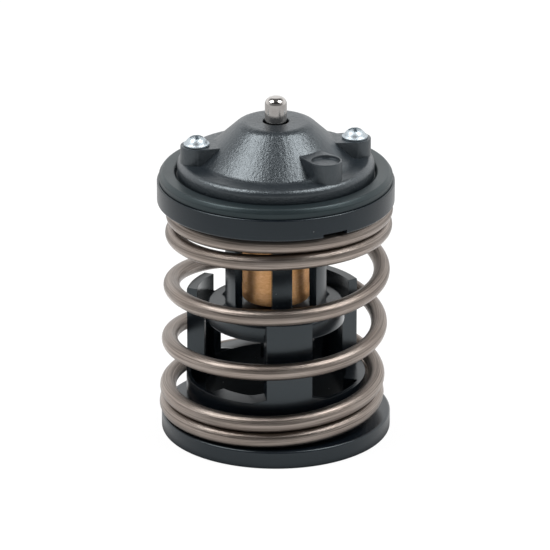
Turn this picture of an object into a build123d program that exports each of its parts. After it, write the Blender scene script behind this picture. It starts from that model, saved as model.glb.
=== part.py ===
from build123d import *
import os
from math import cos, radians, sin, tan

# Engine thermostat: a spring-loaded valve on a moulded base, driven by a wax element and its pin.
# Millimetres, +Z up along the axis, origin at the centre of the base's underside, front at -Y.
# An azimuth is counted in degrees from the front, positive towards +X.

# Overall stack
body_height = 47.0
valve_stroke = 10.0

# Base moulding
base_diameter = 41.0
plate_thickness = 3.25
plate_top_bevel = 0.4
plate_bottom_bevel = 0.3
ring_rise = 7.15
ring_wall = 3.4
ring_rounding = 0.3
leg_relief = 0.2
leg_azimuth = 9.0
leg_count = 3
leg_width = 8.1
leg_head_thickness = 1.9
leg_head_rise = 3.2
leg_head_rounding = 0.3
leg_root_rise = 0.8
leg_root_length = 2.5
ring_pocket_depth = 1.6
ring_pocket_rim = 0.8
ring_pocket_start = 28.0
ring_pocket_end = 53.0

# Main spring
wire_diameter = 2.9
spring_edge_gap = 0.35
spring_ring_gap = 1.25
spring_seat_gap = 0.05
closed_turn_gap = 0.1
open_turns = 3
spring_lean_foot = -0.85
spring_lean_head = 0.7
spring_tilt = 1.2
spring_tilt_azimuth = 64.0
spring_bow = 0.2

# Where things happen along the coil, in degrees of turn from the front
coil_lead_in = 100.0
coil_run_out = 110.0
coil_step = 15
foot_climb = 150.0
head_climb = 110.0
tilt_start = 280.0
tilt_full = 640.0
tilt_fade_before = 150.0
tilt_fade_after = 40.0
pitch_blend = 20

# Valve cage
flange_overhang = 0.5
flange_thickness = 3.9
flange_bevel = 0.25
flange_core_skin = 2.6
notch_azimuth = 29.5
notch_width = 4.7
notch_height = 1.0
notch_depth = 0.8
spigot_depth = 1.0
spigot_gap = 0.85
spigot_wall = 1.2
hub_wall = 1.3
hub_floor = 1.0
bar_azimuths = (7.0, 60.0, 120.0, 187.0, 240.0, 300.0)
bar_width = 3.55
bar_thickness = 1.2
bar_foot_height = 1.3
bar_foot_spread = 0.8
disc_thickness = 2.85
disc_gap = 0.3
disc_landing = 0.5
disc_rounding = 0.6
disc_bevel = 0.35
disc_core_depth = 1.3
disc_core_wall = 2.6
disc_core_hub = 3.0
disc_rib_width = 1.4

# Snap arms under the disc and the grooves they run in
arm_width = 3.4
arm_thickness = 1.4
arm_length = 2.0
arm_nose = 1.3
arm_nose_drop = 0.3
arm_lead = 0.7
arm_gap = 0.4
groove_top_gap = 0.1
groove_bottom_gap = 1.4
leg_shoulder_thickness = 1.6

# Flange seal
seal_inset = 0.4
seal_edge = 0.35
seal_crown_rise = 1.7
seal_lip_thickness = 1.0
seal_lip_width = 1.8
seal_gap = 0.1

# Dome cover
dome_inset = 3.6
dome_rise = 10.8
dome_shoulder_rise = 4.0
dome_shoulder_width = 3.7
dome_slope = 42.7
dome_crown_round = 2.9
dome_foot_round = 0.8
dome_rim_round = 0.5
dome_wall = 2.2
dome_hub_step = 0.5
dome_hub_gap = 0.3
dome_cavity_bite = 0.2
pin_hole_gap = 0.375
boss_radius = 2.85
boss_inset = 0.5
screw_boss_rise = 7.0
peg_boss_rise = 7.5
boss_bevel = 0.15
boss_recess_depth = 0.5
boss_recess_rim = 0.35
screw_azimuth = 98.0
peg_azimuth = 38.0
peg_radius = 1.4
peg_height = 3.0
peg_gap = 0.1
peg_bevel = 0.3

# Cover screws
screw_radius = 1.5
screw_length = 12.0
screw_gap = 0.05
screw_tip_gap = 0.3
screw_boss_wall = 0.75
screw_head_radius = 2.3
screw_head_rim = 0.3
screw_head_height = 1.75
screw_crown_inset = 0.4
screw_crown_shoulder = 1.28
screw_crown_drop = 0.42
screw_tip_radius = 1.05
screw_tip_lead = 0.75
cross_width = 0.6
cross_span = 2.4
cross_depth = 1.0
cross_mouth_lift = 0.1

# Wax element
cup_radius = 5.95
cup_wall = 0.9
cup_floor_gap = 1.65
cup_corner_round = 1.0
cup_swell = 0.15
cup_swell_height = 1.6
cup_hub_gap = 0.3
collar_radius = 8.0
collar_height = 5.0
collar_wall = 0.8
collar_lip = 0.6
collar_lip_radius = 5.7
pocket_gap = 0.2
sleeve_flange_thickness = 1.0
sleeve_radius = 3.4
wax_floor = 3.2
sleeve_bottom = 0.9
sleeve_bore_gap = 0.1
washer_radius = 3.2
washer_thickness = 0.6
neck_radius = 4.0
neck_gap = 0.1
neck_cover = 1.8
ring_section_radius = 0.72
ring_squeeze_gap = 0.06

# Push pin
pin_radius = 1.95
pin_fit = 0.05
pin_projection = 4.4
pin_end_round = 1.3
pin_taper_length = 3.0
pin_taper_radius = 1.2

# Heights that follow from the sizes above
plate_top = plate_thickness
ring_top = plate_top + ring_rise
disc_bottom = ring_top + valve_stroke + disc_landing
disc_top = disc_bottom + disc_thickness
flange_top = body_height
flange_bottom = flange_top - flange_thickness
spigot_bottom = flange_bottom - spigot_depth
collar_top = flange_top - dome_hub_step
pocket_floor = collar_top - collar_height
hub_bottom = pocket_floor - hub_floor
arm_bottom = disc_bottom - arm_length
nose_top = disc_bottom - arm_nose_drop
groove_top = nose_top + groove_top_gap
groove_bottom = arm_bottom - valve_stroke - groove_bottom_gap
leg_shoulder = groove_top + leg_shoulder_thickness
leg_top = leg_shoulder + leg_head_rise
cup_bottom = disc_top + cup_floor_gap
crown_top = flange_top + dome_rise
shoulder_top = flange_top + dome_shoulder_rise
screw_seat = flange_top + screw_boss_rise
peg_boss_top = flange_top + peg_boss_rise
screw_tip = screw_seat - screw_length
sleeve_floor = pocket_floor + collar_wall
guide_bottom = sleeve_floor + sleeve_flange_thickness
guide_flange_top = collar_top - collar_lip
neck_top = crown_top - neck_cover
sleeve_end = cup_bottom + cup_wall + wax_floor
pin_bottom = sleeve_end + sleeve_bottom + sleeve_bore_gap
pin_top = crown_top + pin_projection

# Radii that follow from the sizes above
base_radius = base_diameter / 2
wire_radius = wire_diameter / 2
coil_radius = base_radius - spring_edge_gap - wire_radius
ring_radius = coil_radius - wire_radius - spring_ring_gap
bore_radius = ring_radius - ring_wall
leg_head_inner = ring_radius - leg_head_thickness
disc_radius = bore_radius - disc_gap
arm_outer = bore_radius - arm_gap
nose_radius = arm_outer + arm_nose
groove_radius = nose_radius + arm_gap
groove_width = arm_width + 2 * arm_gap
flange_radius = base_radius + flange_overhang
spigot_radius = coil_radius - wire_radius - spigot_gap
pocket_radius = collar_radius + pocket_gap
hub_radius = pocket_radius + hub_wall
bar_inner = hub_radius - bar_thickness
hub_hole_radius = cup_radius + cup_hub_gap
dome_radius = flange_radius - dome_inset
cone_foot_radius = dome_radius - dome_shoulder_width
dome_hub_radius = pocket_radius - dome_hub_gap
pin_hole_radius = pin_radius + pin_hole_gap
neck_hole_radius = neck_radius + neck_gap
boss_circle = dome_radius - boss_inset - boss_radius
screw_hole_radius = screw_radius + screw_gap
seal_outer = flange_radius - seal_inset
seal_lip_inner = dome_radius - seal_lip_width
seal_side = dome_radius + seal_gap
cup_inner = cup_radius - cup_wall
collar_inner = collar_radius - collar_wall
guide_ring_radius = neck_radius + ring_squeeze_gap + ring_section_radius
guide_ring_outer = guide_ring_radius + ring_section_radius
sleeve_bore = pin_radius + sleeve_bore_gap
guide_bore = pin_radius + pin_fit
through = 1.0


def turned(*corners):
    """A solid turned about the axis from (radius, height) corners."""
    outline = Plane.XZ * make_face(Polyline(*corners, close=True))
    return revolve(outline, Axis.Z)


def tube(inner, outer, bottom, top):
    """A plain round wall about the axis."""
    return turned((inner, bottom), (outer, bottom), (outer, top), (inner, top))


def round_bar(radius, bottom, top):
    """A plain round solid on the axis."""
    return Pos(0, 0, bottom) * extrude(Circle(radius), top - bottom)


def block(near, far, width, bottom, top):
    """A block that starts and ends at two distances along +X, centred on it."""
    middle = Pos((near + far) / 2, 0, (bottom + top) / 2)
    return middle * Box(far - near, width, top - bottom)


def at(azimuth):
    """The turn that takes what lies on +X to an azimuth."""
    return Rot(0, 0, azimuth - 90)


def around(count, first):
    """Azimuths of equal steps round the axis."""
    return [first + 360 * step / count for step in range(count)]


def round_edges(solid, radius, height):
    """The round edges of a solid that lie at one radius and height."""
    found = []
    for edge in solid.edges().filter_by(GeomType.CIRCLE):
        level = edge.bounding_box()
        flat = level.max.Z - level.min.Z < 0.01
        if flat and abs(edge.radius - radius) < 0.01 and abs(level.min.Z - height) < 0.01:
            found.append(edge)
    return found


def leg_outline():
    """What the ring's wall keeps on +X above its top face: a leg with a ramp at each root."""
    ramp_reach = leg_width / 2 + leg_root_length
    ramp_top = ring_top + leg_root_rise
    outline = Polyline(
        (-ramp_reach, ring_top),
        (-leg_width / 2, ramp_top),
        (-leg_width / 2, leg_top + through),
        (leg_width / 2, leg_top + through),
        (leg_width / 2, ramp_top),
        (ramp_reach, ring_top),
        close=True,
    )
    return extrude(Plane.YZ * make_face(outline), ring_radius + 2 * through)


def arm_groove():
    """The space on +X in which a snap arm runs up and down."""
    reach = block(0, groove_radius, groove_width, groove_bottom, groove_top)
    return reach & round_bar(groove_radius, groove_bottom, groove_top)


def ring_pocket():
    """The low stretch of the ring's top face that follows each leg."""
    section = Plane.XZ * make_face(Polyline(
        (bore_radius - through, ring_top - ring_pocket_depth),
        (ring_radius - ring_pocket_rim, ring_top - ring_pocket_depth),
        (ring_radius - ring_pocket_rim, ring_top + through),
        (bore_radius - through, ring_top + through),
        close=True,
    ))
    return Rot(0, 0, ring_pocket_start) * revolve(section, Axis.Z, ring_pocket_end - ring_pocket_start)


def base_moulding():
    """Foot plate, ring and three guide legs, moulded in one piece."""
    body = turned(
        (bore_radius, 0),
        (base_radius - plate_bottom_bevel, 0),
        (base_radius, plate_bottom_bevel),
        (base_radius, plate_top - plate_top_bevel),
        (base_radius - plate_top_bevel, plate_top),
        (ring_radius, plate_top),
        (ring_radius, leg_top),
        (leg_head_inner, leg_top),
        (leg_head_inner, leg_shoulder),
        (bore_radius + leg_relief, leg_shoulder),
        (bore_radius + leg_relief, ring_top),
        (bore_radius, ring_top),
    )
    window = tube(bore_radius - through, ring_radius + through, ring_top, leg_top + through)
    for azimuth in around(leg_count, leg_azimuth):
        window -= at(azimuth) * leg_outline()
    body -= window
    body = fillet(round_edges(body, ring_radius, ring_top), ring_rounding)
    body = fillet(round_edges(body, ring_radius, leg_top), leg_head_rounding)
    for azimuth in around(leg_count, leg_azimuth):
        body -= at(azimuth) * ring_pocket()
        body -= at(azimuth) * arm_groove()
    return body


def spring_height(turn):
    """Height of the wire's centre after a number of degrees, before the coil's own tilt."""
    foot = plate_top + spring_seat_gap + wire_radius
    head = flange_bottom - spring_seat_gap - wire_radius
    lift = wire_diameter + closed_turn_gap
    last = 360 * (open_turns + 1)
    knots = [
        (0, foot), (foot_climb, foot + lift), (360, foot + lift),
        (last, head - lift), (last + head_climb, head - lift), (last + 360, head),
    ]
    if turn <= 0:
        return foot
    for (start, low), (end, high) in zip(knots, knots[1:]):
        if turn <= end:
            return low + (high - low) * (turn - start) / (end - start)
    return head


def ease(value, start, end):
    """A smooth step from 0 at start to 1 at end."""
    share = min(max((value - start) / (end - start), 0), 1)
    return share * share * (3 - 2 * share)


def spring_point(turn):
    """Centre of the wire at a number of degrees from the front, counted to the right."""
    spread = [spring_height(turn + pitch_blend * share / 4) for share in range(-4, 5)]
    level = sum(spread) / len(spread)
    last = 360 * (open_turns + 1)
    open_share = ease(turn, tilt_start, tilt_full)
    open_share *= 1 - ease(turn, last - tilt_fade_before, last + tilt_fade_after)
    level += open_share * (spring_bow - spring_tilt * cos(radians(turn - spring_tilt_azimuth)))
    rise = (level - plate_top) / (flange_bottom - plate_top)
    lean = spring_lean_foot + (spring_lean_head - spring_lean_foot) * rise
    angle = radians(turn)
    return Vector(lean + coil_radius * sin(angle), -coil_radius * cos(angle), level)


def main_spring():
    """Round steel wire in one right-handed coil with a closed turn at each end."""
    sweep_angle = coil_lead_in + 360 * (open_turns + 2) + coil_run_out
    centres = [spring_point(coil_step * index - coil_lead_in) for index in range(int(sweep_angle / coil_step) + 1)]
    path = Spline(*centres)
    start = Plane(origin=path @ 0, z_dir=path % 0)
    return sweep(start * Circle(wire_radius), path=path)


def snap_arm():
    """One snap arm on +X, with a nose that the groove's closed top holds back."""
    arm = tube(arm_outer - arm_thickness, arm_outer, arm_bottom, disc_bottom + through)
    nose = turned(
        (arm_outer - arm_thickness, arm_bottom),
        (arm_outer, arm_bottom),
        (nose_radius, arm_bottom + arm_lead),
        (nose_radius, nose_top),
        (arm_outer - arm_thickness, nose_top),
    )
    return (arm + nose) & block(0, nose_radius, arm_width, arm_bottom, disc_bottom + through)


def cage_bar():
    """One bar of the cage on +X, standing on the disc with a spread foot."""
    height = hub_bottom - disc_top
    wall = tube(bar_inner, hub_radius, disc_top - disc_rounding, hub_bottom)
    bar = wall & block(0, hub_radius, bar_width, disc_top - disc_rounding, hub_bottom)
    middle = (bar_inner + hub_radius) / 2
    foot_base = Rectangle(bar_thickness + 2 * bar_foot_spread, bar_width + 2 * bar_foot_spread)
    foot_head = Rectangle(bar_thickness / 2, bar_width)
    foot_rise = min(bar_foot_height, height / 3)
    foot = loft([Pos(middle, 0, disc_top) * foot_base, Pos(middle, 0, disc_top + foot_rise) * foot_head])
    return bar + foot


def valve_cage():
    """Flange, hub, bars, lower disc and snap arms, moulded in one piece."""
    flange = turned(
        (hub_hole_radius, hub_bottom),
        (hub_radius, hub_bottom),
        (hub_radius, spigot_bottom),
        (spigot_radius, spigot_bottom),
        (spigot_radius, flange_bottom),
        (flange_radius - flange_bevel, flange_bottom),
        (flange_radius, flange_bottom + flange_bevel),
        (flange_radius, flange_top - flange_bevel),
        (flange_radius - flange_bevel, flange_top),
        (pocket_radius, flange_top),
        (pocket_radius, pocket_floor),
        (hub_hole_radius, pocket_floor),
    )
    core_top = flange_top - flange_core_skin
    core = tube(hub_radius, spigot_radius - spigot_wall, spigot_bottom - through, core_top)
    for azimuth in bar_azimuths:
        core -= at(azimuth) * block(0, spigot_radius, bar_thickness, spigot_bottom, core_top)
    flange -= core
    for azimuth in (screw_azimuth, screw_azimuth + 180):
        boss_bottom = screw_tip - screw_tip_gap - screw_boss_wall
        place = at(azimuth) * Pos(boss_circle, 0, 0)
        flange += place * round_bar(screw_hole_radius + screw_boss_wall, boss_bottom, core_top)
        flange -= place * round_bar(screw_hole_radius, screw_tip - screw_tip_gap, flange_top + through)
    peg = round_bar(peg_radius, flange_top - through, flange_top + peg_height)
    peg = chamfer(peg.faces().sort_by(Axis.Z)[-1].edges(), peg_bevel)
    flange += at(peg_azimuth) * Pos(boss_circle, 0, 0) * peg
    notch_base = flange_radius - notch_depth
    notch = block(notch_base, flange_radius + through, notch_width, flange_bottom - through,
                  flange_bottom + notch_height)
    flange -= at(notch_azimuth) * notch

    disc = round_bar(disc_radius, disc_bottom, disc_top)
    disc = fillet(round_edges(disc, disc_radius, disc_top), disc_rounding)
    disc = chamfer(round_edges(disc, disc_radius, disc_bottom), disc_bevel)
    hollow = tube(disc_core_hub, disc_radius - disc_core_wall, disc_bottom - through,
                  disc_bottom + disc_core_depth)
    for azimuth in around(leg_count, leg_azimuth):
        hollow -= at(azimuth) * block(0, disc_radius, disc_rib_width, disc_bottom,
                                      disc_bottom + disc_core_depth)
    disc -= hollow

    cage = flange + disc
    for azimuth in bar_azimuths:
        cage += at(azimuth) * cage_bar()
    for azimuth in around(leg_count, leg_azimuth):
        cage += at(azimuth) * snap_arm()
    return cage


def flange_seal():
    """Rubber ring with a rounded bead, and an inner lip that the dome's rim clamps."""
    bead_width = (seal_outer - seal_side) / 2
    crown = flange_top + seal_crown_rise
    lip_top = flange_top + seal_lip_thickness
    bead = Spline(
        (seal_side, lip_top),
        (seal_side + bead_width * 0.8, crown),
        (seal_outer, flange_top + seal_edge),
        tangents=[(0.3, 1), (0.45, -1)],
    )
    rest = Polyline(
        (seal_outer, flange_top + seal_edge),
        (seal_outer, flange_top),
        (seal_lip_inner, flange_top),
        (seal_lip_inner, lip_top),
        (seal_side, lip_top),
    )
    return revolve(Plane.XZ * make_face([bead, *rest.edges()]), Axis.Z)


def dome_boss(boss_top):
    """One boss on +X with the web of its own width that runs back into the cone."""
    plan = Pos(boss_circle, 0) * Circle(boss_radius)
    web_start = cone_foot_radius - (boss_top - shoulder_top) / tan(radians(dome_slope)) - dome_wall / 2
    web_length = boss_circle - web_start
    plan += Pos(web_start + web_length / 2, 0) * Rectangle(web_length, 2 * boss_radius)
    boss = Pos(0, 0, shoulder_top - dome_foot_round) * extrude(plan, boss_top - shoulder_top + dome_foot_round)
    return chamfer(boss.faces().sort_by(Axis.Z)[-1].edges(), boss_bevel)


def dome_cover():
    """Moulded cap with three bosses on its shoulder, cored round the hub inside."""
    slope = tan(radians(dome_slope))
    crown_radius = cone_foot_radius - (crown_top - shoulder_top) / slope
    rim_bottom = flange_top + seal_lip_thickness
    body = turned(
        (0, collar_top),
        (dome_hub_radius, collar_top),
        (dome_hub_radius, flange_top),
        (seal_lip_inner - seal_gap, flange_top),
        (seal_lip_inner - seal_gap, rim_bottom),
        (dome_radius, rim_bottom),
        (dome_radius, shoulder_top),
        (cone_foot_radius, shoulder_top),
        (crown_radius, crown_top),
        (0, crown_top),
    )
    body = fillet(round_edges(body, crown_radius, crown_top), dome_crown_round)
    body = fillet(round_edges(body, cone_foot_radius, shoulder_top), dome_foot_round)
    body = fillet(round_edges(body, dome_radius, shoulder_top), dome_rim_round)
    for azimuth in (screw_azimuth, screw_azimuth + 180):
        body += at(azimuth) * dome_boss(screw_seat)
    body += at(peg_azimuth) * dome_boss(peg_boss_top)

    skin_drop = dome_wall / cos(radians(dome_slope))
    cavity_radius = boss_circle - boss_radius + dome_cavity_bite
    hub_height = shoulder_top + (cone_foot_radius - dome_hub_radius) * slope - skin_drop
    cavity_height = shoulder_top + (cone_foot_radius - cavity_radius) * slope - skin_drop
    body -= turned(
        (dome_hub_radius, flange_top - dome_hub_step),
        (dome_hub_radius, hub_height),
        (cavity_radius, cavity_height),
        (cavity_radius, flange_top - dome_hub_step),
    )
    ring_room = guide_flange_top + 2 * ring_section_radius + ring_squeeze_gap
    body -= round_bar(guide_ring_outer + ring_squeeze_gap, collar_top - through, ring_room)
    body -= round_bar(neck_hole_radius, collar_top - through, neck_top + neck_gap)
    body -= round_bar(pin_hole_radius, collar_top, crown_top + through)
    for azimuth in (screw_azimuth, screw_azimuth + 180):
        place = at(azimuth) * Pos(boss_circle, 0, 0)
        body -= place * round_bar(screw_hole_radius, flange_top - through, screw_seat + through)
    place = at(peg_azimuth) * Pos(boss_circle, 0, 0)
    body -= place * round_bar(boss_radius - boss_recess_rim, peg_boss_top - boss_recess_depth, peg_boss_top + through)
    body -= place * round_bar(peg_radius + peg_gap, flange_top - through, flange_top + peg_height + peg_gap)
    return body


def cover_screw():
    """One screw on the axis with a flanged, domed head and a cross recess."""
    head_top = screw_seat + screw_head_height
    crown_radius = screw_head_radius - screw_crown_inset
    edges = [
        Line((0, screw_tip), (screw_tip_radius, screw_tip)),
        Line((screw_tip_radius, screw_tip), (screw_radius, screw_tip + screw_tip_lead)),
        Line((screw_radius, screw_tip + screw_tip_lead), (screw_radius, screw_seat)),
        Line((screw_radius, screw_seat), (screw_head_radius, screw_seat)),
        Line((screw_head_radius, screw_seat), (screw_head_radius, screw_seat + screw_head_rim)),
        Line((screw_head_radius, screw_seat + screw_head_rim), (crown_radius, screw_seat + 2 * screw_head_rim)),
        ThreePointArc(
            (crown_radius, screw_seat + 2 * screw_head_rim),
            (screw_crown_shoulder, head_top - screw_crown_drop),
            (0, head_top),
        ),
        Line((0, head_top), (0, screw_tip)),
    ]
    screw = revolve(Plane.XZ * make_face(edges), Axis.Z)
    for angle in (0, 90):
        top_slot = Rectangle(cross_span, cross_width)
        low_slot = Rectangle(cross_span / 2, cross_width)
        slot = loft([Pos(0, 0, head_top + cross_mouth_lift) * top_slot, Pos(0, 0, head_top - cross_depth) * low_slot])
        screw -= Rot(0, 0, angle) * slot
    return screw


def cover_screws():
    """The two screws that hold the dome to the flange."""
    return [at(screw_azimuth + turn) * Pos(boss_circle, 0, 0) * cover_screw() for turn in (0, 180)]


def wax_cup():
    """Drawn cup with a wider collar, rolled in over the guide's flange."""
    swell_start = cup_bottom + cup_corner_round
    swell_end = swell_start + cup_swell_height
    inner_floor = cup_bottom + cup_wall
    corner = cup_corner_round * (1 - cos(radians(45)))
    outline = [
        Line((0, cup_bottom), (cup_radius - cup_corner_round, cup_bottom)),
        ThreePointArc(
            (cup_radius - cup_corner_round, cup_bottom),
            (cup_radius - corner, cup_bottom + corner),
            (cup_radius, swell_start),
        ),
        ThreePointArc(
            (cup_radius, swell_start),
            (cup_radius + cup_swell, (swell_start + swell_end) / 2),
            (cup_radius, swell_end),
        ),
        *Polyline(
            (cup_radius, swell_end),
            (cup_radius, pocket_floor),
            (collar_radius, pocket_floor),
            (collar_radius, collar_top),
            (collar_lip_radius, collar_top),
            (collar_lip_radius, guide_flange_top),
            (collar_inner, guide_flange_top),
            (collar_inner, sleeve_floor),
            (cup_inner, sleeve_floor),
            (cup_inner, inner_floor),
            (0, inner_floor),
            (0, cup_bottom),
        ).edges(),
    ]
    return revolve(Plane.XZ * make_face(outline), Axis.Z)


def wax_charge():
    """Wax that fills the cup round the sleeve."""
    return turned(
        (0, cup_bottom + cup_wall),
        (cup_inner, cup_bottom + cup_wall),
        (cup_inner, sleeve_floor),
        (sleeve_radius, sleeve_floor),
        (sleeve_radius, sleeve_end),
        (0, sleeve_end),
    )


def rubber_sleeve():
    """Rubber sleeve with a flange at its mouth and a closed end in the wax."""
    return turned(
        (0, sleeve_end),
        (sleeve_radius, sleeve_end),
        (sleeve_radius, sleeve_floor),
        (collar_inner, sleeve_floor),
        (collar_inner, guide_bottom),
        (sleeve_bore, guide_bottom),
        (sleeve_bore, sleeve_end + sleeve_bottom),
        (0, sleeve_end + sleeve_bottom),
    )


def sleeve_washer():
    """Thin washer between the sleeve and the guide."""
    return tube(guide_bore, washer_radius, guide_bottom, guide_bottom + washer_thickness)


def element_guide():
    """Turned guide of the pin, with the flange that the cup's collar grips."""
    return turned(
        (washer_radius, guide_bottom),
        (collar_inner, guide_bottom),
        (collar_inner, guide_flange_top),
        (neck_radius, guide_flange_top),
        (neck_radius, neck_top - ring_section_radius),
        (neck_radius - ring_section_radius, neck_top),
        (guide_bore, neck_top),
        (guide_bore, guide_bottom + washer_thickness),
        (washer_radius, guide_bottom + washer_thickness),
    )


def guide_ring():
    """Round rubber ring on the guide's neck."""
    return Pos(0, 0, guide_flange_top + ring_section_radius) * Torus(guide_ring_radius, ring_section_radius)


def push_pin():
    """Steel pin with a rounded head and a tapered foot in the sleeve."""
    pin = turned(
        (0, pin_bottom),
        (pin_taper_radius, pin_bottom),
        (pin_radius, pin_bottom + pin_taper_length),
        (pin_radius, pin_top),
        (0, pin_top),
    )
    return fillet(round_edges(pin, pin_radius, pin_top), pin_end_round)


nodes = {
    "base_moulding": base_moulding(),
    "main_spring": main_spring(),
    "valve_cage": valve_cage(),
    "flange_seal": flange_seal(),
    "dome_cover": dome_cover(),
    "cover_screws": Compound(children=cover_screws()),
    "wax_cup": wax_cup(),
    "wax_charge": wax_charge(),
    "rubber_sleeve": rubber_sleeve(),
    "sleeve_washer": sleeve_washer(),
    "element_guide": element_guide(),
    "guide_ring": guide_ring(),
    "push_pin": push_pin(),
}

os.makedirs("parts", exist_ok=True)
for name, shape in nodes.items():
    export_step(shape, f"parts/{name}.step")
    print(name, len(shape.solids()), round(shape.volume, 1))
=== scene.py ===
from math import cos, radians, sin, tan

import bpy
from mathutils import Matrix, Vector


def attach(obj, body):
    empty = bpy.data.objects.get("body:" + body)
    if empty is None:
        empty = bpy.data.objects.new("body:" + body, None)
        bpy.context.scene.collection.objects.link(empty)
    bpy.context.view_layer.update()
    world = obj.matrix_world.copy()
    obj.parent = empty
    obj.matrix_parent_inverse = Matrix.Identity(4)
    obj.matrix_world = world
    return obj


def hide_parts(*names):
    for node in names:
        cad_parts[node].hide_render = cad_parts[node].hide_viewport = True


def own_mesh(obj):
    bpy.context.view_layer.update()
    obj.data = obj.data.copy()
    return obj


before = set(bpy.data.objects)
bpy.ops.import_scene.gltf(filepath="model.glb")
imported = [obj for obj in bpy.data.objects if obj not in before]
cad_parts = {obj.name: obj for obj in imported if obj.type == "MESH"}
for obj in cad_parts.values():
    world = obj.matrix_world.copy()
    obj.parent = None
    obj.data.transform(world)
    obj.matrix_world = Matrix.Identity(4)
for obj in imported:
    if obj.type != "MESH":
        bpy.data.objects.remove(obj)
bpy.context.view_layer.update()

scene = bpy.context.scene


# Studio. The thermostat stands on a white table in front of a white sweep, with two soft boxes high at its
# sides. The room behind the camera is dimmer. Sizes are in millimetres, times mm where Blender takes them in
# metres. +Z is up the valve's axis, the front is -Y.
mm = 0.001


class Value:
    """A number or colour in a node tree, with its sums written as Python."""

    def __init__(self, graph, socket):
        self.graph = graph
        self.socket = socket

    def math(self, operation, first, second):
        return self.graph.node("ShaderNodeMath", {"operation": operation}, {0: first, 1: second})

    def __add__(self, other):
        return self.math("ADD", self, other)

    def __rsub__(self, other):
        return self.math("SUBTRACT", other, self)

    def __mul__(self, other):
        return self.math("MULTIPLY", self, other)

    def __lt__(self, other):
        return self.math("LESS_THAN", self, other)

    def __gt__(self, other):
        return self.math("GREATER_THAN", self, other)

    __radd__ = __add__


class Graph:
    """A node tree that grows by one call for each node."""

    def __init__(self, owner):
        owner.use_nodes = True
        self.tree = owner.node_tree

    def feed(self, socket, value):
        if isinstance(value, Value):
            self.tree.links.new(value.socket, socket)
        else:
            socket.default_value = value

    def node(self, kind, settings=None, inputs=None, output=0):
        added = self.tree.nodes.new(kind)
        for name, setting in (settings or {}).items():
            setattr(added, name, setting)
        for name, value in (inputs or {}).items():
            self.feed(added.inputs[name], value)
        return Value(self, added.outputs[output])

    def remap(self, value, low, high, new_low, new_high):
        """A value brought from one range into another, held at both ends."""
        inputs = {0: value, 1: low, 2: high, 3: new_low, 4: new_high}
        return self.node("ShaderNodeMapRange", {"clamp": True}, inputs)

    def blend(self, share, first, second):
        return self.node("ShaderNodeMix", {"data_type": "RGBA"}, {0: share, 6: first, 7: second}, output=2)


def light_share(graph):
    """1 for the rays that look at the studio itself, from the camera, a gloss or a glass."""
    def ray(kind):
        path = graph.node("ShaderNodeLightPath")
        return Value(graph, path.socket.node.outputs[kind])
    return ray("Is Camera Ray") + ray("Is Glossy Ray") + ray("Is Transmission Ray") > 0.5


# The sweep is bright near the horizon and fades overhead, the room darkens behind the camera, and what the camera
# itself sees is plain white.
scene.world = bpy.data.worlds.new("studio")
sky = Graph(scene.world)
direction = sky.node("ShaderNodeTexCoord", output="Generated")
depth = sky.node("ShaderNodeSeparateXYZ", inputs={0: direction}, output=1)
height = sky.node("ShaderNodeSeparateXYZ", inputs={0: direction}, output=2)
sweep = sky.remap(height, 0.47, 0.72, 1.0, 0.16) * sky.remap(depth, 0.1, 0.6, 1.0, 1.2)
room = sky.remap(depth, -0.5, 0.0, 1.0, 0.0) * sky.remap(height, 0.0, 0.15, 0.0, 1.0)
horizon = sweep * (1 - room * 0.75)
looked_at = Value(sky, sky.node("ShaderNodeLightPath").socket.node.outputs["Is Camera Ray"])
background = sky.tree.nodes["Background"]
sky.feed(background.inputs["Color"], (1, 1, 1, 1))
sky.feed(background.inputs["Strength"], horizon + looked_at * (1 - horizon))

lamp_offset = 330
lamp_height = 590
lamp_size = 340
lamp_power = 2.6
lamp_target = Vector((0, 0, 45)) * mm
for side in (-1, 1):
    place = Vector((side * lamp_offset, -40, lamp_height)) * mm
    bpy.ops.object.light_add(type="AREA", location=place)
    lamp = bpy.context.object
    lamp.name = "soft_box_left" if side < 0 else "soft_box_right"
    lamp.data.size = lamp_size * mm
    lamp.data.energy = lamp_power
    lamp.rotation_euler = (place - lamp_target).to_track_quat("Z", "Y").to_euler()

# The table lies just clear of the base's underside. To gloss and glass rays it glows up at the thermostat as a
# painted pool of light, most from a ring a little way out, with a painted shadow under the base where it hardly
# glows at all.
table_drop = 0.01
bpy.ops.object.select_all(action="DESELECT")
bpy.ops.mesh.primitive_plane_add(size=4, location=(0, 0, -table_drop * mm))
bpy.ops.object.transform_apply()
table = bpy.context.object
table.name = "table"
table_paper = bpy.data.materials.new("white_table")
paper = Graph(table_paper)
matt = paper.node("ShaderNodeBsdfDiffuse", inputs={"Color": (0.82, 0.82, 0.82, 1)})
seen = Value(paper, paper.node("ShaderNodeLightPath").socket.node.outputs["Is Camera Ray"])
from_axis = paper.node("ShaderNodeTexCoord", output="Object")
reach = paper.node("ShaderNodeVectorMath", {"operation": "LENGTH"}, {0: from_axis}, output="Value")
# painted shadow: under the base the table's glow drops to a tenth
painted_base_shadow = paper.remap(reach, 20.5 * mm, 22.5 * mm, 0.1, 0.8)
# painted pool of light: the glow rises to double by 45 mm out and falls to 0.4 of it by 130 mm
near = paper.remap(reach, 26 * mm, 45 * mm, 1.0, 2.0)
far = paper.remap(reach, 70 * mm, 130 * mm, 1.0, 0.4)
painted_pool_and_shadow = painted_base_shadow * near * far
# the camera sees plain white; gloss and glass rays see the painted pool of light and painted shadow
glow = paper.node("ShaderNodeEmission", inputs={"Color": seen * 1.1 + (1 - seen) * painted_pool_and_shadow})
lit = paper.node("ShaderNodeMixShader", inputs={0: light_share(paper) * 0.8, 1: matt, 2: glow})
paper.feed(paper.tree.nodes["Material Output"].inputs["Surface"], lit)
table.data.materials.append(table_paper)

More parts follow.
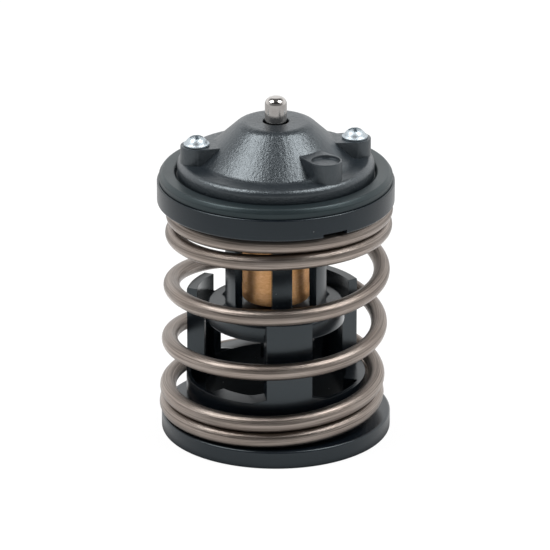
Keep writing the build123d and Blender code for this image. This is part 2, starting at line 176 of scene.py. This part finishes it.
camera_target = Vector((-0.1477, 0, 28.662)) * mm
camera_distance = 831.5 * mm
camera_rise = radians(21.654)
towards_camera = Vector((0, -cos(camera_rise), sin(camera_rise)))
bpy.ops.object.camera_add(location=camera_target + camera_distance * towards_camera)
camera = bpy.context.object
camera.name = "camera"
camera.rotation_euler = (camera.location - camera_target).to_track_quat("Z", "Y").to_euler()
camera.data.lens = 306.16
camera.data.sensor_width = 36
camera.data.clip_start = 0.01
scene.camera = camera
scene.view_settings.view_transform = "Standard"


# Base moulding. Foot plate, ring with the bypass port and three guide legs, one piece of glossy blue-black
# plastic. It leaves the mould with a small radius on every edge. The legs' grooves guide the valve's snap arms.
def soften(*corners, steps=4):
    """The outline through (radius, height) corners, rounded where a corner carries a third number."""
    outline = []
    for index, (radius, height, *rounding) in enumerate(corners):
        corner = Vector((radius, height))
        if not rounding:
            outline.append(corner)
            continue
        back = (Vector(corners[index - 1][:2]) - corner).normalized()
        ahead = (Vector(corners[(index + 1) % len(corners)][:2]) - corner).normalized()
        half = back.angle(ahead) / 2
        centre = corner + (back + ahead).normalized() * rounding[0] / sin(half)
        start = corner + back * rounding[0] / tan(half) - centre
        end = corner + ahead * rounding[0] / tan(half) - centre
        for step in range(steps + 1):
            outline.append(centre + start.lerp(end, step / steps).normalized() * rounding[0])
    return outline


def turned(name, outline, segments=180):
    """A body of revolution, pulled ring by ring along an outline from a circle, and closed."""
    rings = [corner for corner in outline if corner[0] > 0]
    radius, height = rings[0]
    bpy.ops.object.select_all(action="DESELECT")
    bpy.ops.mesh.primitive_circle_add(vertices=segments, radius=radius * mm, location=(0, 0, height * mm))
    body = bpy.context.object
    body.name = name
    bpy.ops.object.transform_apply()
    bpy.ops.object.mode_set(mode="EDIT")
    bpy.ops.mesh.select_mode(type="VERT")
    bpy.ops.mesh.select_all(action="SELECT")
    hollow = len(rings) == len(outline)
    for next_radius, next_height in rings[1:] + rings[:hollow]:
        rise = (next_height - height) * mm
        bpy.ops.mesh.extrude_region_move(TRANSFORM_OT_translate={"value": (0, 0, rise)})
        growth = next_radius / radius
        bpy.ops.transform.resize(value=(growth, growth, 1), center_override=(0, 0, 0))
        radius, height = next_radius, next_height
    bpy.ops.mesh.select_all(action="SELECT")
    bpy.ops.mesh.remove_doubles(threshold=0.001 * mm)
    if not hollow:
        bpy.ops.mesh.fill_holes(sides=0)
    bpy.ops.mesh.normals_make_consistent(inside=False)
    bpy.ops.object.mode_set(mode="OBJECT")
    return body


def block(near, far, width, bottom, top):
    """A block on +X between two distances from the axis."""
    middle = Vector(((near + far) / 2, 0, (bottom + top) / 2)) * mm
    size = Vector((far - near, width, top - bottom)) * mm
    bpy.ops.object.select_all(action="DESELECT")
    bpy.ops.mesh.primitive_cube_add(size=1, location=middle, scale=size)
    bpy.ops.object.transform_apply()
    return bpy.context.object


def post(distance, radius, bottom, top, segments=64):
    """A round post on +X at a distance from the axis."""
    middle = Vector((distance, 0, (bottom + top) / 2)) * mm
    bpy.ops.object.select_all(action="DESELECT")
    bpy.ops.mesh.primitive_cylinder_add(vertices=segments, radius=radius * mm, depth=(top - bottom) * mm,
                                        location=middle)
    bpy.ops.object.transform_apply()
    return bpy.context.object


def draw_out(body, wanted, move, growth=(1, 1, 1), about=0):
    """Extrude the wanted faces of a body by a move, and scale their end about a point on +X."""
    bpy.ops.object.select_all(action="DESELECT")
    body.select_set(True)
    bpy.context.view_layer.objects.active = body
    bpy.ops.object.mode_set(mode="EDIT")
    bpy.ops.mesh.select_mode(type="FACE")
    bpy.ops.mesh.select_all(action="DESELECT")
    bpy.ops.object.mode_set(mode="OBJECT")
    for face in body.data.polygons:
        face.select = wanted(face)
    bpy.ops.object.mode_set(mode="EDIT")
    bpy.ops.mesh.extrude_region_move(TRANSFORM_OT_translate={"value": Vector(move) * mm})
    bpy.ops.transform.resize(value=growth, center_override=(about * mm, 0, 0))
    bpy.ops.object.mode_set(mode="OBJECT")


def faces_down(face):
    return face.normal.z < -0.99


def faces_up(face):
    return face.normal.z > 0.99


def all_round(piece, azimuths):
    """Copies of a piece on +X at each azimuth, counted from the front to the right, as one mesh."""
    bpy.ops.object.select_all(action="DESELECT")
    for azimuth in azimuths:
        copy = piece.copy()
        copy.data = piece.data.copy()
        bpy.context.collection.objects.link(copy)
        copy.rotation_euler.z = radians(azimuth - 90)
        copy.select_set(True)
        bpy.context.view_layer.objects.active = copy
    bpy.data.objects.remove(piece)
    bpy.ops.object.transform_apply()
    if len(azimuths) > 1:
        bpy.ops.object.join()
    return bpy.context.object


def apply(body, kind, **settings):
    """Put a modifier on a body and apply it."""
    step = body.modifiers.new(kind, kind)
    for name, setting in settings.items():
        setattr(step, name, setting)
    bpy.ops.object.select_all(action="DESELECT")
    body.select_set(True)
    bpy.context.view_layer.objects.active = body
    bpy.ops.object.modifier_apply(modifier=step.name)


def combine(body, tool, operation):
    """Join a tool to a body, cut it away, or keep what they share.

    Points that all but coincide afterwards are welded, because the next cut fails on them.
    """
    apply(body, "BOOLEAN", object=tool, operation=operation, solver="EXACT")
    bpy.data.objects.remove(tool)
    apply(body, "WELD", merge_threshold=0.002 * mm)


def break_edges(body, width, segments=2):
    """Give the sharp edges of a body a small radius."""
    bpy.ops.object.select_all(action="DESELECT")
    body.select_set(True)
    bpy.context.view_layer.objects.active = body
    bpy.ops.object.mode_set(mode="EDIT")
    bpy.ops.mesh.select_all(action="SELECT")
    bpy.ops.mesh.remove_doubles(threshold=0.02 * mm)
    bpy.ops.mesh.dissolve_limited(angle_limit=radians(0.5))
    bpy.ops.object.mode_set(mode="OBJECT")
    apply(body, "BEVEL", width=width * mm, segments=segments, limit_method="ANGLE", angle_limit=radians(40))


def smooth(body):
    """Shade a finished body smooth, with its flat faces flat and its creases kept."""
    bpy.ops.object.select_all(action="DESELECT")
    body.select_set(True)
    bpy.context.view_layer.objects.active = body
    bpy.ops.object.shade_smooth_by_angle(angle=radians(30))
    apply(body, "WEIGHTED_NORMAL", keep_sharp=True, weight=50)


class Finish(Graph):
    """A material on the piece's own shader, reading the object's coordinates."""

    def __init__(self, name, colour, roughness, metal=0.0):
        self.material = bpy.data.materials.new(name)
        super().__init__(self.material)
        self.shader = self.tree.nodes["Principled BSDF"]
        self.set("Base Color", (*colour, 1))
        self.set("Roughness", roughness)
        self.set("Metallic", metal)
        self.place = self.node("ShaderNodeTexCoord", output="Object")

    def set(self, socket, value):
        self.feed(self.shader.inputs[socket], value)

    def noise(self, size, place=None, detail=2.0, roughness=0.5):
        """Cloudy noise from 0 to 1 whose patches are about so many millimetres."""
        inputs = {"Vector": place or self.place, "Scale": 1 / (size * mm), "Detail": detail,
                  "Roughness": roughness}
        return self.node("ShaderNodeTexNoise", inputs=inputs)

    def stretched(self, x, y, z):
        """The object's coordinates, scaled by different amounts along the axes."""
        return self.node("ShaderNodeMapping", inputs={"Vector": self.place, "Scale": (x, y, z)})

    def specks(self, spacing, size, share):
        """1 on small round specks: one to a cell of a spacing, in a share of the cells."""
        inputs = {"Vector": self.place, "Scale": 1 / (spacing * mm)}
        cells = self.node("ShaderNodeTexVoronoi", inputs=inputs)
        chosen = Value(self, cells.socket.node.outputs["Color"])
        chance = self.node("ShaderNodeSeparateColor", inputs={0: chosen})
        return (cells < size / spacing) * (chance < share)

    def bump(self, height, depth, strength=1.0):
        """Let a height from 0 to 1 raise the surface by so many millimetres."""
        inputs = {"Height": height, "Distance": depth * mm, "Strength": strength}
        self.set("Normal", self.node("ShaderNodeBump", inputs=inputs))

    def on(self, *pieces):
        for piece in pieces:
            piece.data.materials.clear()
            piece.data.materials.append(self.material)


plate_radius = 20.5
plate_top = 3.25
ring_radius = 16.0
ring_top = 10.4
bore_radius = 12.6
leg_inner = 12.8
leg_shoulder = 22.3
leg_top = 25.5
leg_head_inner = 14.1
leg_width = 8.1
leg_foot_width = 13.1
leg_foot_height = 0.8
leg_azimuths = (9, 129, 249)
pocket_radius = 15.2
pocket_floor = 7.6
pocket_after_leg = 40.5
pocket_half_angle = radians(23)
groove_radius = 13.9
groove_width = 4.2
groove_floor = 7.5
groove_top = 20.7
base_edge = 0.2

base = turned("base", soften(
    (bore_radius, 0, 0.2), (plate_radius, 0, 0.3), (plate_radius, plate_top, 0.4),
    (ring_radius, plate_top, 0.15), (ring_radius, leg_top, 0.3), (leg_head_inner, leg_top),
    (leg_head_inner, leg_shoulder), (leg_inner, leg_shoulder), (leg_inner, ring_top + 0.15),
    (bore_radius, ring_top + 0.15),
))
windows = turned("windows", [
    Vector((bore_radius - 1, ring_top)), Vector((ring_radius + 1, ring_top)),
    Vector((ring_radius + 1, leg_top + 1)), Vector((bore_radius - 1, leg_top + 1)),
])
leg = block(10, 19, leg_width, ring_top + leg_foot_height, leg_top + 2)
draw_out(leg, faces_down, (0, 0, -leg_foot_height), growth=(1, leg_foot_width / leg_width, 1))
draw_out(leg, faces_down, (0, 0, -1))
combine(windows, all_round(leg, leg_azimuths), "DIFFERENCE")
combine(base, windows, "DIFFERENCE")

pocket = turned("pocket", [Vector(corner) for corner in (
    (bore_radius - 1, pocket_floor), (pocket_radius, pocket_floor),
    (pocket_radius, ring_top + 1), (bore_radius - 1, ring_top + 1),
)])
bpy.ops.object.mode_set(mode="EDIT")
for turn in (-1, 1):
    bpy.ops.mesh.select_all(action="SELECT")
    side_normal = (-sin(pocket_half_angle), turn * cos(pocket_half_angle), 0)
    bpy.ops.mesh.bisect(plane_co=(0, 0, 0), plane_no=side_normal, use_fill=True, clear_outer=True)
bpy.ops.object.mode_set(mode="OBJECT")
combine(base, all_round(pocket, [azimuth + pocket_after_leg for azimuth in leg_azimuths]), "DIFFERENCE")
groove = block(8, groove_radius, groove_width, groove_floor, groove_top)
combine(base, all_round(groove, leg_azimuths), "DIFFERENCE")
break_edges(base, base_edge)
smooth(base)

gloss = Finish("blue_black_moulding", (0.009, 0.013, 0.018), 0.2)
gloss.set("Specular Tint", (0.84, 0.95, 1.0, 1))
flow = gloss.noise(7, detail=3)
grain = gloss.noise(0.35, detail=4)
dust = gloss.specks(1.6, 0.075, 0.16)
blue_black = gloss.blend(flow, (0.003, 0.005, 0.008, 1), (0.008, 0.012, 0.017, 1))
gloss.set("Base Color", gloss.blend(dust * 0.7, blue_black, (0.32, 0.33, 0.33, 1)))
gloss.set("Roughness", 0.15 + flow * 0.1 + grain * 0.08 + dust * 0.4)
gloss.bump(grain + flow * 3.0, 0.006, 0.5)
gloss.on(base)
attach(base, "base")
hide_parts("base_moulding")


# Main spring. Drawn spring steel wire, coiled right-handed with a closed turn at each end, squeezed between the
# foot plate and the flange. It leans a little and its open turns are tilted. The wire keeps its draw marks.
wire_radius = 1.45
coil_radius = 18.7
flange_bottom = 43.1
seat_gap = 0.05
spring_length = 39.85
foot = plate_top + seat_gap + wire_radius
crown = flange_bottom - seat_gap - wire_radius
closed_lift = 3.0
last_open = 360 * 4
first_turn = -100
last_turn = 1910
tilt = 1.2
tilt_azimuth = 64
foot_lean = -0.85
whole_lean = 1.55
bevel_steps = 10


def ease(value, start, end):
    share = min(max((value - start) / (end - start), 0), 1)
    return share * share * (3 - 2 * share)


def wire_height(turn):
    """Height of the wire's centre along the coil, before its tilt."""
    if turn <= 0:
        return foot
    knots = [(0, foot), (150, foot + closed_lift), (360, foot + closed_lift),
             (last_open, crown - closed_lift), (last_open + 110, crown - closed_lift),
             (last_open + 360, crown)]
    for (start, low), (end, high) in zip(knots, knots[1:]):
        if turn <= end:
            return low + (high - low) * (turn - start) / (end - start)
    return crown


def wire_point(turn):
    """Centre of the wire at so many degrees of turn from the front."""
    level = sum(wire_height(turn + 5 * step) for step in range(-4, 5)) / 9
    open_share = ease(turn, 280, 640) * (1 - ease(turn, last_open - 150, last_open + 40))
    level += open_share * (0.2 - tilt * cos(radians(turn - tilt_azimuth)))
    lean = foot_lean + whole_lean * (level - plate_top) / spring_length
    angle = radians(turn)
    return Vector((lean + coil_radius * sin(angle), -coil_radius * cos(angle), level)) * mm


bpy.ops.object.select_all(action="DESELECT")
bpy.ops.curve.primitive_nurbs_path_add()
wire = bpy.context.object
wire.name = "spring"
wire.data.splines.clear()
line = wire.data.splines.new("NURBS")
turns = range(first_turn, last_turn + 1, 10)
line.points.add(len(turns) - 1)
for point, turn in zip(line.points, turns):
    point.co = (*wire_point(turn), 1)
line.order_u = 3
line.use_endpoint_u = True
line.resolution_u = 3
wire.data.bevel_depth = wire_radius * mm
wire.data.bevel_resolution = bevel_steps
wire.data.use_fill_caps = True
wire.data.twist_mode = "Z_UP"
bpy.ops.object.convert(target="MESH")
spring = bpy.context.object
spring.name = "spring"
bpy.ops.object.shade_smooth_by_angle(angle=radians(40))

sides = 2 * bevel_steps + 4
ring_step = 0.0085
marks = spring.data.attributes.new("along_wire", "FLOAT_VECTOR", "POINT")
for index in range(len(spring.data.vertices)):
    angle = radians(360 * (index % sides) / sides)
    marks.data[index].vector = (cos(angle), sin(angle), ring_step * (index // sides))

steel = Finish("drawn_spring_steel", (0.36, 0.32, 0.29), 0.3, metal=1.0)
along = steel.node("ShaderNodeAttribute", {"attribute_name": "along_wire"}, output="Vector")
draw_lines = steel.node("ShaderNodeTexNoise",
                        inputs={"Vector": along, "Scale": 9.0, "Detail": 4.0, "Roughness": 0.65})
heat = steel.noise(9, detail=3)
pits = steel.noise(0.5, detail=4)
streaks = steel.remap(draw_lines, 0.32, 0.68, 0.0, 1.0)
dark_steel = steel.blend(heat, (0.09, 0.072, 0.06, 1), (0.15, 0.13, 0.115, 1))
light_steel = steel.blend(heat, (0.31, 0.25, 0.21, 1), (0.46, 0.41, 0.375, 1))
steel.set("Base Color", steel.blend(streaks, dark_steel, light_steel))
steel.set("Roughness", 0.25 + streaks * 0.08 + pits * 0.14)
steel.bump(draw_lines * 2.0 + pits * 0.4, 0.03, 0.8)
steel.on(spring)
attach(spring, "base")
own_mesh(spring)
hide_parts("main_spring")


# Valve cage. Flange, cored spigot, hub, six bars and the lower disc, one moulding of the base's plastic. The
# disc closes the bypass port. Three snap arms under it run in the legs' grooves and hold the valve to the base.
flange_radius = 21.0
flange_top = 47.0
spigot_radius = 16.4
spigot_bottom = 42.1
core_radius = 15.2
core_top = 44.4
hub_radius = 9.5
hub_bottom = 40.5
hub_hole = 6.25
socket_radius = 8.2
socket_floor = 41.5
disc_radius = 12.3
disc_bottom = 20.5
disc_top = 23.75
disc_core_top = 22.2
bar_azimuths = (7, 60, 120, 187, 240, 300)
bar_inner = 8.06
bar_outer = 9.47
bar_bottom = 23.4
bar_width = 3.55
screw_azimuths = (98, 278)
peg_azimuth = 38
notch_azimuth = 29.5
boss_circle = 14.05
arm_width = 3.4

cage = turned("cage", soften(
    (hub_hole, hub_bottom), (hub_radius, hub_bottom, 0.2), (hub_radius, core_top, 0.2),
    (core_radius, core_top, 0.2), (core_radius, spigot_bottom), (spigot_radius, spigot_bottom, 0.25),
    (spigot_radius, flange_bottom), (flange_radius, flange_bottom, 0.25), (flange_radius, flange_top, 0.25),
    (socket_radius, flange_top), (socket_radius, socket_floor), (hub_hole, socket_floor),
))
rib = block(9.1, 15.8, 1.2, 42.3, 44.8)
combine(cage, all_round(rib, bar_azimuths), "UNION")
screw_post = post(boss_circle, 2.3, 40.95, 44.9)
combine(cage, all_round(screw_post, screw_azimuths), "UNION")
screw_hole = post(boss_circle, 1.55, 41.7, 48.0)
combine(cage, all_round(screw_hole, screw_azimuths), "DIFFERENCE")
peg = post(boss_circle, 1.4, 46.0, 50.0)
combine(cage, all_round(peg, [peg_azimuth]), "UNION")
notch = block(flange_radius - 1.6, 23, 4.7, 42, flange_bottom + 0.75)
combine(cage, all_round(notch, [notch_azimuth]), "DIFFERENCE")

disc = turned("disc", soften(
    (0, disc_bottom), (3.0, disc_bottom, 0.2), (3.0, disc_core_top), (9.7, disc_core_top),
    (9.7, disc_bottom, 0.2), (disc_radius, disc_bottom, 0.35), (disc_radius, disc_top, 0.6), (0, disc_top),
))
spoke = block(2.6, 10.2, 1.4, 21.1, 22.6)
combine(disc, all_round(spoke, leg_azimuths), "UNION")
combine(cage, disc, "UNION")

bar = turned("bar", [Vector(corner) for corner in (
    (bar_inner, bar_bottom), (bar_outer, bar_bottom), (bar_outer, 41.0), (bar_inner, 41.0),
)])
combine(bar, block(7, 11, bar_width, 23, 42), "INTERSECT")
bar_foot = block(7.66, 9.9, 4.35, bar_bottom, disc_top)
draw_out(bar_foot, faces_up, (0, 0, 0.9), growth=(0.3, 0.81, 1), about=8.9)
combine(bar, bar_foot, "UNION")
break_edges(bar, 0.18)
combine(cage, all_round(bar, bar_azimuths), "UNION")

arm = block(10.8, 12.2, arm_width, 18.9, 21.5)
nose = block(12.0, 13.5, arm_width, 19.6, 20.6)
draw_out(nose, faces_down, (0, 0, -0.7), growth=(0.14, 1, 1), about=12.0)
combine(arm, nose, "UNION")
break_edges(arm, 0.15)
combine(cage, all_round(arm, leg_azimuths), "UNION")
smooth(cage)
gloss.on(cage)
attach(cage, "valve")
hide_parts("valve_cage")


# Wax element. A drawn brass cup full of wax, its wide collar rolled in over a brass guide. It sits in the hub's
# pocket and shows between the bars. The drawing die left fine upright lines, and the skin is mottled.
cup_foot = 24.8
cup_radius = 5.93
cup_inner = 5.05
cup_floor = 26.3
collar_radius = 8.0
collar_inner = 7.2
collar_top = 46.5
lip_radius = 5.7

cup = turned("cup", soften(
    (0, cup_foot), (6.0, cup_foot, 0.4), (6.12, 26.4, 0.6), (cup_radius, 27.3, 0.8),
    (cup_radius, socket_floor, 0.1), (collar_radius, socket_floor, 0.4), (collar_radius, collar_top, 0.5),
    (lip_radius, collar_top, 0.15), (lip_radius, 45.9, 0.1), (collar_inner, 45.9), (collar_inner, 42.3),
    (cup_inner, 42.3), (cup_inner, cup_floor, 0.6), (0, cup_floor), steps=5,
), segments=128)
smooth(cup)

brass = Finish("drawn_brass", (0.9, 0.5, 0.22), 0.5, metal=0.8)
upright = brass.noise(0.5, place=brass.stretched(1, 1, 0.05), detail=4)
stain = brass.noise(3, detail=3)
grit = brass.noise(0.45, place=brass.stretched(0.6, 0.6, 1.6), detail=5, roughness=0.65)
patches = brass.remap(stain * 0.4 + grit * 0.6, 0.35, 0.65, 0.0, 1.0)
brass.set("Base Color", brass.blend(patches, (0.76, 0.38, 0.13, 1), (1.0, 0.62, 0.33, 1)))
brass.set("Roughness", 0.4 + stain * 0.1 + upright * 0.16)
brass.bump(upright + grit, 0.03, 0.8)
brass.on(cup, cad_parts["element_guide"])
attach(cup, "valve")
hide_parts("wax_cup")

wax = Finish("element_wax", (0.74, 0.70, 0.56), 0.5)
marbling = wax.noise(2.5, detail=4)
wax.set("Base Color", wax.blend(marbling, (0.62, 0.56, 0.40, 1), (0.82, 0.78, 0.66, 1)))
wax.set("Roughness", 0.42 + marbling * 0.2)
wax.bump(marbling, 0.08)
wax.on(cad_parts["wax_charge"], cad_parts["sleeve_washer"])


# Flange seal. A ring of satin black rubber on the flange's top face, with a rounded bead that closes on the
# housing and a thin inner lip that the dome's rim clamps. The skin holds a little dust.
seal_inner = 15.6
seal_lip_top = 48.0

seal = turned("seal", soften(
    (seal_inner, flange_top), (20.6, flange_top, 0.12), (20.62, seal_lip_top, 0.4), (20.1, 48.75, 0.5),
    (17.9, 48.72, 0.5), (17.5, seal_lip_top), (seal_inner, seal_lip_top), steps=5,
))
smooth(seal)

rubber = Finish("satin_rubber", (0.008, 0.012, 0.014), 0.42)
rubber.set("Specular Tint", (0.78, 0.96, 1.0, 1))
skin = rubber.noise(0.25, detail=4)
bloom = rubber.noise(6, detail=3)
lint = rubber.specks(2.2, 0.09, 0.2)
black_rubber = rubber.blend(bloom, (0.008, 0.014, 0.016, 1), (0.017, 0.024, 0.027, 1))
rubber.set("Base Color", rubber.blend(lint * 0.7, black_rubber, (0.4, 0.4, 0.4, 1)))
rubber.set("Roughness", 0.24 + bloom * 0.14 + skin * 0.1)
rubber.bump(skin, 0.01, 0.6)
rubber.on(seal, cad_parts["rubber_sleeve"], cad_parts["guide_ring"])
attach(seal, "valve")
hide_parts("flange_seal")


# Dome cover. A cone with a rounded crown and three bosses on its shoulder, moulded in glass-filled plastic with
# a sandy skin. Two bosses take the screws. The third, over a peg of the flange, is higher and has a sunk top.
crown_top = 57.8
shoulder_top = 51.0
screw_boss_top = 54.0
peg_boss_top = 54.5
cone_foot = 13.7
cone_angle = radians(42.7)
slope = tan(cone_angle)
pin_hole = 2.325
rim_radius = 17.4
rim_inner = 15.5
hub_fit = 7.9
cavity_radius = 11.4
dome_wall = 2.2
boss_radius = 2.85
boss_reach = 4.8
boss_narrowing = 0.84

dome = turned("dome", soften(
    (pin_hole, crown_top, 0.12), (cone_foot - (crown_top - shoulder_top) / slope, crown_top, 2.9),
    (cone_foot, shoulder_top, 1.8), (rim_radius, shoulder_top, 1.2), (rim_radius, seal_lip_top, 0.2),
    (rim_inner, seal_lip_top), (rim_inner, flange_top), (hub_fit, flange_top), (hub_fit, collar_top),
    (pin_hole, collar_top), steps=6,
))

for boss_top, boss_azimuths in ((screw_boss_top, screw_azimuths), (peg_boss_top, [peg_azimuth])):
    boss = post(boss_circle, boss_radius, 50.2, boss_top, segments=72)
    bpy.ops.object.mode_set(mode="EDIT")
    bpy.ops.mesh.select_mode(type="VERT")
    bpy.ops.mesh.select_all(action="DESELECT")
    bpy.ops.object.mode_set(mode="OBJECT")
    for vertex in boss.data.vertices:
        vertex.select = vertex.co.x < (boss_circle - 0.01) * mm
    bpy.ops.object.mode_set(mode="EDIT")
    bpy.ops.transform.translate(value=(-boss_reach * mm, 0, 0))
    bpy.ops.transform.resize(value=(1, boss_narrowing, 1), center_override=(0, 0, 0))
    bpy.ops.object.mode_set(mode="OBJECT")
    if boss_top == peg_boss_top:
        recess = post(boss_circle, 2.5, boss_top - 0.5, boss_top + 1, segments=72)
        combine(boss, recess, "DIFFERENCE")
    break_edges(boss, 0.14)
    combine(dome, all_round(boss, boss_azimuths), "UNION")

drop = dome_wall / cos(cone_angle)
cavity = turned("cavity", [Vector(corner) for corner in (
    (hub_fit, 46.0), (hub_fit, shoulder_top + (cone_foot - hub_fit) * slope - drop),
    (cavity_radius, shoulder_top + (cone_foot - cavity_radius) * slope - drop), (cavity_radius, 46.0),
)])
combine(dome, cavity, "DIFFERENCE")
break_edges(dome, 0.2)
smooth(dome)

sandy = Finish("sandy_dome_moulding", (0.013, 0.017, 0.021), 0.36)
sandy.set("IOR", 1.7)
sandy.set("Specular IOR Level", 0.65)
sandy.set("Specular Tint", (0.86, 0.95, 1.0, 1))
outward = sandy.node("ShaderNodeVectorMath", {"operation": "MULTIPLY"}, {0: sandy.place, 1: (1, 1, 0)})
outward = sandy.node("ShaderNodeVectorMath", {"operation": "NORMALIZE"}, {0: outward})
downhill = sandy.node("ShaderNodeVectorMath", {"operation": "MULTIPLY"},
                      {0: sandy.place, 1: (0.25, 0.25, 0.4)})
downhill = sandy.node("ShaderNodeVectorMath", {"operation": "MULTIPLY_ADD"},
                      {0: outward, 1: (0.011,) * 3, 2: downhill})
runs = sandy.noise(0.7, place=downhill, detail=2)
sand = sandy.noise(0.42, detail=4, roughness=0.6)
mottle = sandy.noise(2.4, detail=4)
flecks = sandy.specks(1.1, 0.07, 0.12)
black_sand = sandy.blend(mottle, (0.008, 0.012, 0.016, 1), (0.018, 0.023, 0.028, 1))
sandy.set("Base Color", sandy.blend(flecks * 0.6, black_sand, (0.3, 0.31, 0.32, 1)))
sandy.set("Roughness", 0.22 + mottle * 0.08 + sand * 0.1)
sandy.bump(sand + runs * 0.6 + mottle * 0.3, 0.068, 1.0)
sandy.on(dome)
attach(dome, "valve")
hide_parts("dome_cover")


# Cover screws. Two zinc-plated screws with a domed, flanged head and a cross recess, driven through the dome's
# bosses into the flange. The plate is bright, a little bluish, and dulled by fine rub marks.
screw_tip = 42.0
screw_radius = 1.5
head_radius = 2.3
head_top = 55.75
head_round = 2.145
head_centre = head_top - head_round
cross_floor = 54.75
cross_width = 0.55
cross_length = 2.3

head = []
for angle in range(62, 5, -7):
    head.append((head_round * sin(radians(angle)), head_centre + head_round * cos(radians(angle))))
screw = turned("screws", soften(
    (0, screw_tip), (1.05, screw_tip), (screw_radius, 42.75), (screw_radius, screw_boss_top),
    (head_radius, screw_boss_top, 0.08), (head_radius, screw_boss_top + 0.32, 0.1),
    (1.98, screw_boss_top + 0.5, 0.1), *head, (0, head_top), steps=5,
), segments=96)
for length, width in ((cross_length, cross_width), (cross_width, cross_length)):
    slot = block(-length / 2, length / 2, width, cross_floor, 56.2)
    combine(screw, slot, "DIFFERENCE")
break_edges(screw, 0.06)
screw.location.x = boss_circle * mm
bpy.ops.object.transform_apply()
screws = all_round(screw, screw_azimuths)
screws.name = "screws"
smooth(screws)

zinc = Finish("bright_zinc", (0.72, 0.76, 0.78), 0.18, metal=1.0)
rubs = zinc.noise(0.3, detail=4)
haze = zinc.noise(1.6, detail=3)
zinc.set("Base Color", zinc.blend(haze, (0.38, 0.44, 0.48, 1), (0.58, 0.63, 0.66, 1)))
zinc.set("Roughness", 0.36 + haze * 0.1 + rubs * 0.08)
zinc.bump(rubs, 0.004, 0.5)
zinc.on(screws)
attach(screws, "valve")
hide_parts("cover_screws")


# Push pin. A ground steel pin with a rounded end, free to slide in the guide inside the dome. Its side keeps
# the fine rings of grinding, and its end is polished.
pin_radius = 1.95
pin_bottom = 30.5
pin_top = 62.2

pin = turned("pin", soften(
    (0, pin_bottom), (1.2, pin_bottom), (pin_radius, 33.5), (pin_radius, pin_top, 1.3), (0, pin_top), steps=8,
), segments=96)
smooth(pin)

ground = Finish("ground_steel", (0.5, 0.48, 0.46), 0.24, metal=1.0)
rings = ground.noise(0.6, place=ground.stretched(0.02, 0.02, 2.0), detail=4)
wear = ground.noise(1.5, detail=3)
ground.set("Base Color", ground.blend(wear, (0.40, 0.37, 0.35, 1), (0.60, 0.58, 0.56, 1)))
ground.set("Roughness", 0.09 + wear * 0.05 + rings * 0.06)
ground.bump(rings, 0.001, 0.5)
ground.on(pin)
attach(pin, "pin")
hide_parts("push_pin")
